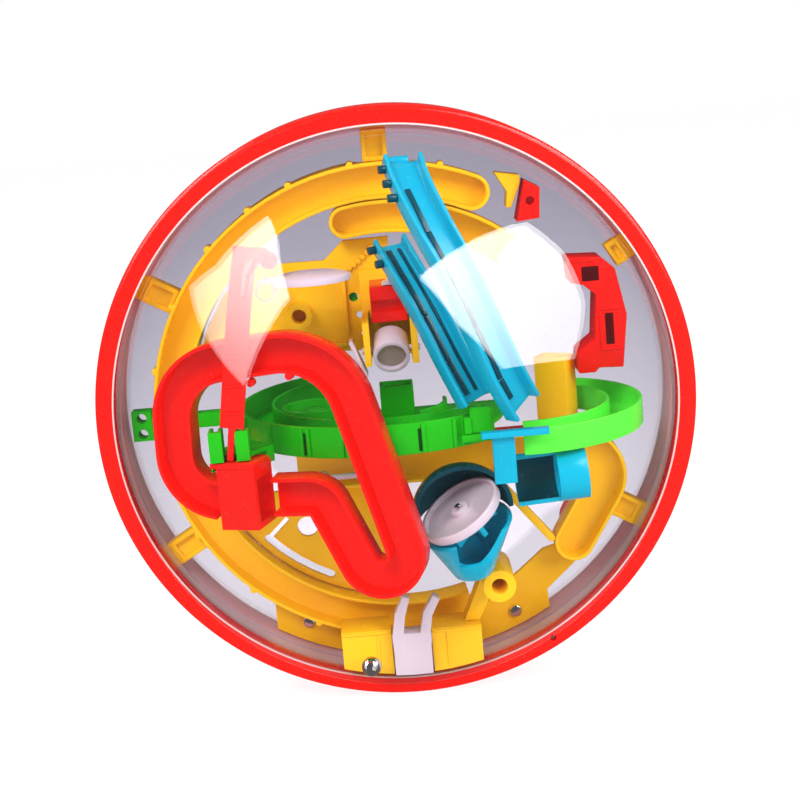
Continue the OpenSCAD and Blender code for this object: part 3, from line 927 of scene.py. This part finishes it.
# bars and studs in mm: bars are size, place, turn; studs are radius, length, place, turn
smallParts = {
    "deckFootClip": {
        "finish": "greenPlastic",
        "slot": "green_plastic",
        "bars": (
            ((6.2, 3.0, 7.6), (24.4, -43.6, 1.8)),
            ((2.2, 3.4, 5.0), (20.6, -44.2, 0.4)),
            ((9.0, 2.0, 2.2), (23.0, -45.2, -3.4)),
        ),
    },
    "rampHead": {
        "finish": "tealPlastic",
        "slot": "teal_plastic",
        "studs": ((1.9, 6.4, (6.8, -19.0, 77.6), (0, 90, 0)),),
        "bars": (((5.0, 1.4, 4.2), (6.8, -20.4, 75.4)),),
    },
    "plateRibs": {
        "finish": "yellowPlastic",
        "slot": "yellow_plastic",
        "bars": (
            ((1.2, 2.4, 20), (-13.4, 0.2, 33)),
            ((15, 2.4, 1.2), (-46.0, 0.2, 21.4), (0, 6, 0)),
            ((18, 2.4, 1.2), (-24.0, 0.2, 19.4), (0, 3, 0)),
        ),
    },
    "hookLedges": {
        "finish": "redPlastic",
        "slot": "red_plastic",
        "bars": (
            ((6.4, 0.9, 1.0), (70.0, -6.5, 25.5)),
            ((5.8, 0.9, 1.0), (69.4, -6.5, 12.5)),
            ((1.0, 0.9, 11.0), (66.8, -6.5, 19.0)),
            ((7.0, 0.9, 1.0), (62.4, -6.5, 41.2)),
        ),
    },
    "loopLugs": {
        "finish": "redPlastic",
        "slot": "red_plastic",
        "studs": (
            (1.2, 3.0, (-41.5, -49.0, 19.9), (90, 0, -12)),
            (1.2, 3.0, (-30.0, -51.5, 21.4), (90, 0, -12)),
        ),
    },
    # dark red sheets painted as the shade seen in the openings of the hook
    "hookWindow": {
        "finish": "darkRedPlastic",
        "slot": "red_plastic",
        "bars": (
            ((5.4, 0.6, 4.6), (64.4, -6.45, 37.0)),
            ((2.6, 0.6, 10.0), (69.6, -6.45, 19.0)),
        ),
    },
    "baseRibs": {
        "finish": "yellowPlastic",
        "slot": "yellow_plastic",
        "bars": (
            ((0.8, 0.7, 12), (-12.4, -20.1, -77.5)),
            ((0.8, 0.7, 12), (10.0, -20.1, -77.5)),
            ((15.4, 0.9, 0.9), (-16.0, -20.1, -70.8)),
            ((15.4, 0.9, 0.9), (13.0, -20.1, -71.8)),
            ((1.3, 2.2, 26), (-6.0, 0.4, -44.0)),
        ),
    },
}


def inMetres(lengths):
    return tuple(length * mm for length in lengths)


def makeSmallParts(name):
    # a piece made only of bars and studs
    s = smallParts[name]
    parts = []
    for radius, length, place, turn in s.get("studs", ()):
        parts.append(stud(radius * mm, length * mm, inMetres(place), turn))
    for size, place, *turn in s.get("bars", ()):
        parts.append(block(inMetres(size), inMetres(place), *turn))
    return finishDetail(parts, name, s["finish"])


armRidgeSettings = {
    "heights": (12, 20, 28),
    "foot": -49.5,  # where the middle of the arm is at the level of the sphere's middle
    "lean": 9.1 / 57.3,
    "front": -53.2,
    "size": (5.2, 0.7, 0.9),
}


def makeArmRidges(s):
    # cross ridges on the front of the leaning arm, in mm
    parts = []
    for height in s["heights"]:
        place = (s["foot"] + s["lean"] * height, s["front"], height)
        parts.append(block(inMetres(s["size"]), inMetres(place)))
    return finishDetail(parts, "armRidges", "redPlastic")


spokeSettings = {
    "angles": {30: 82.9, 90: 77.6, 150: 77.6, 210: 77.6, 330: 78.2},  # degrees: inner end, mm
    "width": 8.0 * mm,
    "thick": 6.0 * mm,
    "barEnd": 87.6 * mm,
    "tenonEnd": 91.6 * mm,
    "tenonThick": 4.6 * mm,
    "rail": 1.5 * mm,
    "sunk": 1.6 * mm,
    "foot": 0.8 * mm,
    "edge": 0.35 * mm,
}


def makeSpokes(s):
    # each spoke is a bar with its front and back sunk between two rails
    parts = []
    for angle, inner in s["angles"].items():
        deselectAll()
        length = s["barEnd"] - inner * mm
        bpy.ops.mesh.primitive_cube_add(size=1, location=(inner * mm + length / 2, 0, 0))
        part = bpy.context.object
        part.scale = (length, s["thick"], s["width"])
        bpy.ops.object.transform_apply(location=True, scale=True)
        for side in (-1, 1):
            selectWhere(part, lambda c, n: n.y * side > 0.9 and abs(c.y) > s["thick"] * 0.45, "FACE")
            bpy.ops.mesh.inset(thickness=s["rail"])
            sink = (0, -side * s["sunk"], 0)
            bpy.ops.mesh.extrude_region_move(TRANSFORM_OT_translate={"value": sink})
            objectMode()
        selectWhere(part, lambda c, n: n.x < -0.9 and c.x < inner * mm + near, "FACE")
        bpy.ops.mesh.inset(thickness=s["foot"])
        objectMode()
        roundEdges(part, s["edge"])
        tenonLength = s["tenonEnd"] - s["barEnd"]
        tenonSize = (tenonLength, s["tenonThick"], s["width"])
        tenon = block(tenonSize, (s["barEnd"] + tenonLength / 2, 0, 0))
        part = join([part, tenon], "spoke")
        settle(part, turn=(0, -angle, 0))
        parts.append(part)
    return finishDetail(parts, "ringSpokes", "yellowPlastic", nodes=["ring_spokes"])


ringKnobSettings = {
    "angles": (75, 96, 111, 122, 135, 151, 167, 195, 209, 228, 246, 262),
    "radius": 1.1 * mm,
    "length": 7.2 * mm,
    "middle": -2.2 * mm,
    "reach": ringRadius + 5.75 * mm,
}


def makeRingKnobs(s):
    parts = []
    for angle in s["angles"]:
        a = math.radians(angle)
        place = (s["reach"] * math.cos(a), s["middle"], s["reach"] * math.sin(a))
        parts.append(stud(s["radius"], s["length"], place))
    return finishDetail(parts, "ringKnobs", "yellowPlastic")


deckRibSettings = {
    "middle": 48.7 * mm,
    "edge": 0.25 * mm,
    "above": 0.3 * mm,
    "angles": (-56, -64, -67.5, -79, -92, -95, -108, -121, -124, -140, -160, -185, -205),
    "size": (1.0 * mm, 1.3 * mm, 8.7 * mm),
}


def makeDeckRibs(s):
    # upright ribs round the outside of the deck
    parts = []
    for angle in s["angles"]:
        place = (s["middle"], 0, s["size"][2] / 2 + s["above"])
        rib = block(s["size"], place, (0, 0, angle), s["edge"])
        settle(rib, move=deckMiddle)
        parts.append(rib)
    return finishDetail(parts, "deckRibs", "greenPlastic")


deckRailSettings = {
    # radius, width, height in mm, then start and sweep in degrees
    "rings": ((31.5, 1.2, 3.2, -150, 60), (25.0, 1.2, 2.4, -135, 52), (18.0, 1.1, 4.6, -60, 70)),
    "floorTop": -5.0 * mm,
    "step": 4.0,
    "edge": 0.25 * mm,
}


def makeDeckRails(s):
    # curved guide rails standing on the deck floor
    parts = []
    for radius, width, height, start, sweep in s["rings"]:
        place = arcStart(radius * mm, start, 1)
        rail = startEdge(place, width * mm)
        sweepMoves(place, [bent(radius, sweep)], s["step"])
        objectMode()
        mergeDoubles(rail)
        recalcFlat(rail)
        editMode("FACE")
        bpy.ops.mesh.select_all(action="SELECT")
        bpy.ops.mesh.extrude_region_move(TRANSFORM_OT_translate={"value": (0, 0, height * mm)})
        objectMode()
        recalcNormals(rail)
        roundEdges(rail, s["edge"])
        settle(rail, move=(deckMiddle[0], deckMiddle[1], s["floorTop"]))
        parts.append(rail)
    return finishDetail(parts, "deckRails", "greenPlastic")


domeBeadSettings = {
    "radius": 89.25 * mm,
    "thick": 0.32 * mm,
    "front": 13.6 * mm,
    "around": 200,
    "section": 10,
}


def makeDomeBeads(s):
    # the thin bead where each dome meets the lip of the rim; its pale pink is painted light, the glint and
    # the refracted red of the clear edge
    parts = []
    for side in (-1, 1):
        deselectAll()
        bpy.ops.mesh.primitive_torus_add(
            major_segments=s["around"],
            minor_segments=s["section"],
            major_radius=s["radius"],
            minor_radius=s["thick"],
            location=(0, side * s["front"], 0),
            rotation=(math.pi / 2, 0, 0),
        )
        bead = bpy.context.object
        bpy.ops.object.transform_apply(location=True, rotation=True)
        parts.append(bead)
    return finishDetail(parts, "domeBeads", "paleBead")


plateBeadSettings = {
    "count": 7,
    "start": (-12.5 * mm, 44.0 * mm),
    "end": (-3.8 * mm, 50.5 * mm),
    "rise": 1.4,  # how much the row curves up
    "radius": 0.9 * mm,
    "length": 1.6 * mm,
    "front": 0.6 * mm,
}


def makePlateBeads(s):
    # a row of small bumps along the edge of the centre plate
    parts = []
    for index in range(s["count"]):
        share = index / (s["count"] - 1)
        x = s["start"][0] + (s["end"][0] - s["start"][0]) * share
        z = s["start"][1] + (s["end"][1] - s["start"][1]) * share ** s["rise"]
        parts.append(stud(s["radius"], s["length"], (x, s["front"], z)))
    return finishDetail(parts, "plateBeads", "yellowPlastic")


plateCrownSettings = {
    "radius": 11.9 * mm,
    "inside": 0.3 * mm,
    "middle": (-30 * mm, 46.6 * mm),
    "flatness": 0.16,
    "around": 64,
    "rings": 32,
}


def makePlateCrown(s):
    # the crowned top of the tilting plate
    deselectAll()
    low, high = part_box("tilt_plate")
    middle = (high.x - s["radius"] - s["inside"], *s["middle"])
    bpy.ops.mesh.primitive_uv_sphere_add(
        segments=s["around"], ring_count=s["rings"], radius=s["radius"], location=middle
    )
    piece = bpy.context.object
    piece.scale = (1, 1, s["flatness"])
    bpy.ops.object.transform_apply(location=True, scale=True)
    editMode()
    bpy.ops.mesh.select_all(action="SELECT")
    bpy.ops.mesh.bisect(plane_co=middle, plane_no=(0, 0, -1), clear_outer=True, use_fill=True)
    objectMode()
    return finishDetail([piece], "plateCrown", "whitePlastic", "plate")


cupSettings = {
    "pivot": (-0.1 * mm, -22.0 * mm, 21.3 * mm),
    "tilt": 25.0,
    "radius": 4.45 * mm,
    "thick": 0.8 * mm,
    "inset": 2.6 * mm,
    "around": 40,
    "edge": 0.2 * mm,
}


def makeCupShade(s):
    # a darker beige disc a little way inside the mouth of the cup, painted as the shade inside it
    tilt = math.radians(90 + s["tilt"])
    mouth = Vector((0, -math.sin(tilt), math.cos(tilt)))
    place = Vector(s["pivot"]) + mouth * s["inset"]
    face = stud(s["radius"], s["thick"], place, (90 + s["tilt"], 0, 0), s["around"], s["edge"])
    return finishDetail([face], "cupLining", "beigePlastic", "cup")


deckSlotShadeSettings = {
    "outer": 48.6 * mm,
    "angles": (-122.5, -80),
    "size": (1.6 * mm, 1.7 * mm, 7.0 * mm),
    "sunk": 0.72 * mm,
    "above": 0.7 * mm,
}


def makeDeckSlotShades(s):
    # dark upright blocks sunk in the outside of the deck, painted as the shade inside its slots
    parts = []
    for angle in s["angles"]:
        place = (s["outer"] - s["sunk"], 0, s["size"][2] / 2 + s["above"])
        slot = block(s["size"], place, (0, 0, angle))
        settle(slot, move=deckMiddle)
        parts.append(slot)
    return finishDetail(parts, "deckSlots", "darkGreenPlastic")


def rampAxes(first, second):
    # along a ramp, across it to the left, and up from its floor
    ahead = (Vector(second) - Vector(first)).normalized()
    across = ahead.cross(Vector(first).normalized()).normalized()
    return ahead, across, across.cross(ahead)


def barAlong(first, second, s):
    # a bar laid along the floor of a ramp from one point of its path to the next
    ahead, across, upward = rampAxes(first, second)
    first, second = Vector(first) * mm, Vector(second) * mm
    size = ((second - first).length + s["overlap"], s["width"], s["thick"])
    bar = block(size, (0, 0, 0), edge=0.2 * mm)
    middle = (first + second) / 2 + across * s["aside"] + upward * s["above"]
    turn = Matrix((ahead, -across, upward)).transposed()
    bar.matrix_world = Matrix.Translation(middle) @ turn.to_4x4()
    bpy.ops.object.transform_apply(location=True, rotation=True)
    return bar


def pathBars(s):
    return [barAlong(a, b, s) for a, b in zip(s["path"], s["path"][1:])]


upperPath = ((9.6, -28, 69), (14.5, -38, 57), (20, -45, 45), (25.5, -49, 30), (31, -49, 15), (33.6, -47, 9))
lowerPath = ((2.4, -17, 49.8), (6, -25, 43), (11.5, -33, 32), (17, -38.5, 19), (21.5, -40.2, 9))
# painted shadow strips inside the ramps' channels, each laid along a ramp's path
rampShadowCommon = {"above": 1.5 * mm, "thick": 0.7 * mm, "overlap": 0.2 * mm}
rampShadowSettings = [
    {"path": upperPath, "aside": 1.3 * mm, "width": 1.7 * mm, **rampShadowCommon},
    {"path": lowerPath, "aside": 1.0 * mm, "width": 1.7 * mm, **rampShadowCommon},
    {"path": lowerPath, "aside": -2.4 * mm, "width": 1.1 * mm, **rampShadowCommon},
]


def makeRampShadowStrips(settings):
    # dark strips down both ramps, painted as the shadow inside their channels
    parts = []
    for s in settings:
        parts.extend(pathBars(s))
    return finishDetail(parts, "rampGrooves", "darkTealPlastic")


rampPinSettings = {
    "upper": (((7.6, -20, 77), (9.6, -28, 69)), 5.9 * mm, (0.35, 0.85, 1.35)),
    "lower": (((1.6, -15, 51.5), (6, -25, 43)), 5.2 * mm, (0.15, 0.6)),
    "radius": 1.25 * mm,
    "length": 3.0 * mm,
    "above": 2.6 * mm,
}


def makeRampPins(s):
    # short pins on the left walls of both ramps, near their heads
    parts = []
    for ramp in ("upper", "lower"):
        (first, second), aside, shares = s[ramp]
        ahead, across, upward = rampAxes(first, second)
        for share in shares:
            onPath = Vector(first).lerp(Vector(second), share) * mm
            pin = stud(s["radius"], s["length"], (0, 0, 0), (0, 0, 0))
            turn = Matrix((ahead, upward, across)).transposed()
            middle = onPath + across * (aside + s["length"] * 0.35) + upward * s["above"]
            pin.matrix_world = Matrix.Translation(middle) @ turn.to_4x4()
            bpy.ops.object.transform_apply(location=True, rotation=True)
            parts.append(pin)
    return finishDetail(parts, "rampPins", "darkTealPlastic")


armHeadSettings = {
    "path": (
        (-42.6, -46, 44.5),
        (-41.4, -43, 50.2),
        (-38.9, -40.5, 54.2),
        (-36.2, -38.4, 56.0),
        (-33.9, -37, 55.2),
    ),
    "aside": 0.0,
    "above": 0.0,
    "width": 5.4 * mm,
    "thick": 2.2 * mm,
    "overlap": 1.2 * mm,
    "knobRadius": 2.6 * mm,
    "knobLength": 2.4 * mm,
    "knobPlace": (-33.6 * mm, -37.2 * mm, 53.4 * mm),
}


def makeArmHead(s):
    # the top of the upright arm, bent over toward the tilting plate
    parts = pathBars(s)
    parts.append(stud(s["knobRadius"], s["knobLength"], s["knobPlace"]))
    return finishDetail(parts, "armHead", "redPlastic")


tubeShadeSettings = {
    "radius": 6.62 * mm,
    "length": 12.3 * mm,
    "openFrom": -1.0 * mm,
    "thick": 0.12 * mm,
    "around": 72,
    "turn": 87.0,
    "place": (34.3 * mm, -38.0 * mm, -19.6 * mm),
}


def makeTubeShade(s):
    # a thin dark sheet painted as the shade inside the open half of the short tube
    deselectAll()
    bpy.ops.mesh.primitive_cylinder_add(
        vertices=s["around"],
        radius=s["radius"],
        depth=s["length"],
        end_fill_type="NOTHING",
        location=(0, 0, s["length"] / 2),
    )
    shadeSheet = bpy.context.object
    bpy.ops.object.transform_apply(location=True)
    editMode()
    bpy.ops.mesh.select_all(action="SELECT")
    bpy.ops.mesh.bisect(plane_co=(0, s["openFrom"], 0), plane_no=(0, 1, 0), clear_inner=True)
    objectMode()
    wall = shadeSheet.modifiers.new("wall", "SOLIDIFY")
    wall.thickness = s["thick"]
    bpy.ops.object.modifier_apply(modifier=wall.name)
    settle(shadeSheet, turn=(0, s["turn"], 0), move=s["place"])
    return finishDetail([shadeSheet], "tubeLining", "darkTealPlastic")


pinRecess = {
    "angle": -61.0,
    "reach": 91.4 * mm,
    "radius": 1.0 * mm,
    "middle": -14.0 * mm,
    "length": 5.0 * mm,
    "edge": 0.1 * mm,
}


def drillRim(rim, s):
    # the small recess on the face of the rim where a pivot pin shows
    turn = math.radians(s["angle"])
    place = (s["reach"] * math.cos(turn), s["middle"], s["reach"] * math.sin(turn))
    drill = stud(s["radius"], s["length"], place, edge=s["edge"])
    bpy.context.view_layer.objects.active = rim
    bpy.ops.object.modifier_add(type="BOOLEAN")
    cut = rim.modifiers[-1]
    cut.object = drill
    bpy.ops.object.modifier_apply(modifier=cut.name)
    bpy.data.objects.remove(drill)


lightSettings = {
    "worldStrength": 0.75,
    "worldInGloss": 0.10,  # what the glossy surfaces mirror of the plain surroundings
    "floorGlow": 0.87,
    "floorSize": 8.0,
    "floorGap": 0.0002,
    "lamps": [
        {"place": (-0.50, -1.00, 0.95), "size": 0.55, "energy": 17.0},
        {"place": (0.75, -0.90, 0.55), "size": 0.60, "energy": 9.0},
        {"place": (-0.10, 0.70, 1.00), "size": 0.80, "energy": 6.0},
    ],
}

# corners in metres on the card, set on a 5 cm grid
softBoxSettings = [
    {
        "name": "leftSoftBox",
        "azimuth": 180.0,  # degrees round from +X
        "elevation": 44.0,
        "distance": 0.9,
        "corners": [(-0.3, -0.2), (0.55, -0.45), (0.4, 0.15), (-0.05, 0.25), (-0.25, 0.25), (-0.2, -0.05)],
        "bright": 11.0,
        "dim": 4.5,
    },
    {
        "name": "rightSoftBox",
        "azimuth": -19.0,
        "elevation": 43.0,
        "distance": 0.9,
        "corners": [
            (-0.5, -0.4),
            (0.05, -0.55),
            (0.35, -0.3),
            (0.45, -0.05),
            (0.4, 0.15),
            (-0.45, 0.4),
            (-0.55, 0.0),
        ],
        "bright": 13.0,
        "dim": 6.0,
    },
]


def addLamp(s):
    bpy.ops.object.light_add(type="AREA", location=s["place"])
    lamp = bpy.context.object
    lamp.data.size = s["size"]
    lamp.data.energy = s["energy"]
    lamp.rotation_euler = Vector(s["place"]).to_track_quat("Z", "Y").to_euler()
    lamp.visible_glossy = False
    return lamp


def softBoxGlow(s, low, high):
    # a lit cloth, brightest along its upper edge
    maker = MaterialMaker(s["name"])
    rise = maker.between(maker.axis("Z"), low, high)
    strength = s["dim"] + rise * (s["bright"] - s["dim"])
    weave = maker.noise(60.0, 2.0)
    glow = maker.add(
        "ShaderNodeEmission", {}, {"Color": (1.0, 0.985, 0.97, 1), "Strength": strength + weave * 0.3}
    )
    return maker.finish(glow)


def makeSoftBox(s):
    # a flat card seen only as a reflection in glossy surfaces
    deselectAll()
    bpy.ops.mesh.primitive_circle_add(vertices=len(s["corners"]), radius=1, fill_type="NGON")
    card = bpy.context.object
    azimuth, elevation = math.radians(s["azimuth"]), math.radians(s["elevation"])
    level = Vector((math.cos(azimuth), math.sin(azimuth), 0))
    toward = level * math.cos(elevation) + Vector((0, 0, 1)) * math.sin(elevation)
    across = Vector((0, 0, 1)).cross(toward).normalized()
    upward = toward.cross(across)
    for vertex, (x, y) in zip(card.data.vertices, s["corners"]):
        vertex.co = toward * s["distance"] + across * x + upward * y
    card.name = s["name"]
    heights = [vertex.co.z for vertex in card.data.vertices]
    card.data.materials.append(softBoxGlow(s, min(heights), max(heights)))
    card.visible_camera = False
    card.visible_diffuse = False
    card.visible_transmission = False
    card.visible_shadow = False


def lightWorld(s):
    world = bpy.data.worlds.new("studio")
    bpy.context.scene.world = world
    world.use_nodes = True
    nodes, links = world.node_tree.nodes, world.node_tree.links
    plain = nodes["Background"]
    plain.inputs["Color"].default_value = (1.0, 1.0, 1.0, 1.0)
    path = nodes.new("ShaderNodeLightPath")
    glossy = nodes.new("ShaderNodeMix")
    links.new(path.outputs["Is Glossy Ray"], glossy.inputs[0])
    glossy.inputs[2].default_value = s["worldStrength"]
    glossy.inputs[3].default_value = s["worldInGloss"]
    behind = nodes.new("ShaderNodeMix")
    links.new(path.outputs["Is Camera Ray"], behind.inputs[0])
    links.new(glossy.outputs[0], behind.inputs[2])
    behind.inputs[3].default_value = 1.0
    links.new(behind.outputs[0], plain.inputs["Strength"])


def lightStudio(s):
    lightWorld(s)
    for lamp in s["lamps"]:
        addLamp(lamp)
    for softBox in softBoxSettings:
        makeSoftBox(softBox)
    deselectAll()
    bpy.ops.mesh.primitive_plane_add(size=s["floorSize"], location=(0, 0, startBounds[0][2] - s["floorGap"]))
    floor = bpy.context.object
    floor.name = "floor"
    floor.data.materials.append(paleFloor("paleFloor", s["floorGlow"]))
    floor.visible_glossy = False


lightStudio(lightSettings)

madeHere = {"front_dome", "rear_dome", "front_rim", "rear_rim", "ring_spokes"}
makeDome(domeSettings, "frontDome", "front_dome", finishes["frontClear"], 1)
makeDome(domeSettings, "rearDome", "rear_dome", finishes["rearClear"], -1)
frontRim = makeRim(rimSettings, "frontRim", "front_rim", 1)
drillRim(frontRim, pinRecess)
makeRim(rimSettings, "rearRim", "rear_rim", -1)
for settings in trackSettings:
    track = makeTrack(settings)
    madeHere.add(settings["node"])
    print(track.name, len(track.data.polygons))
for node in frame["nodes"]:
    if node not in madeHere:
        roundedCopy(node, copySettings)
makeSpokes(spokeSettings)
makeRingKnobs(ringKnobSettings)
makeDeckRibs(deckRibSettings)
makeDeckRails(deckRailSettings)
makeSmallParts("deckFootClip")
makeDomeBeads(domeBeadSettings)
makeRampPins(rampPinSettings)
makeSmallParts("rampHead")
makePlateBeads(plateBeadSettings)
makeSmallParts("plateRibs")
makePlateCrown(plateCrownSettings)
makeCupShade(cupSettings)
makeSmallParts("hookLedges")
makeArmRidges(armRidgeSettings)
makeSmallParts("loopLugs")
makeDeckSlotShades(deckSlotShadeSettings)
makeRampShadowStrips(rampShadowSettings)
makeArmHead(armHeadSettings)
makeSmallParts("hookWindow")
makeTubeShade(tubeShadeSettings)
makeSmallParts("baseRibs")
bpy.context.scene.view_settings.view_transform = "Standard"
print("pieces made")
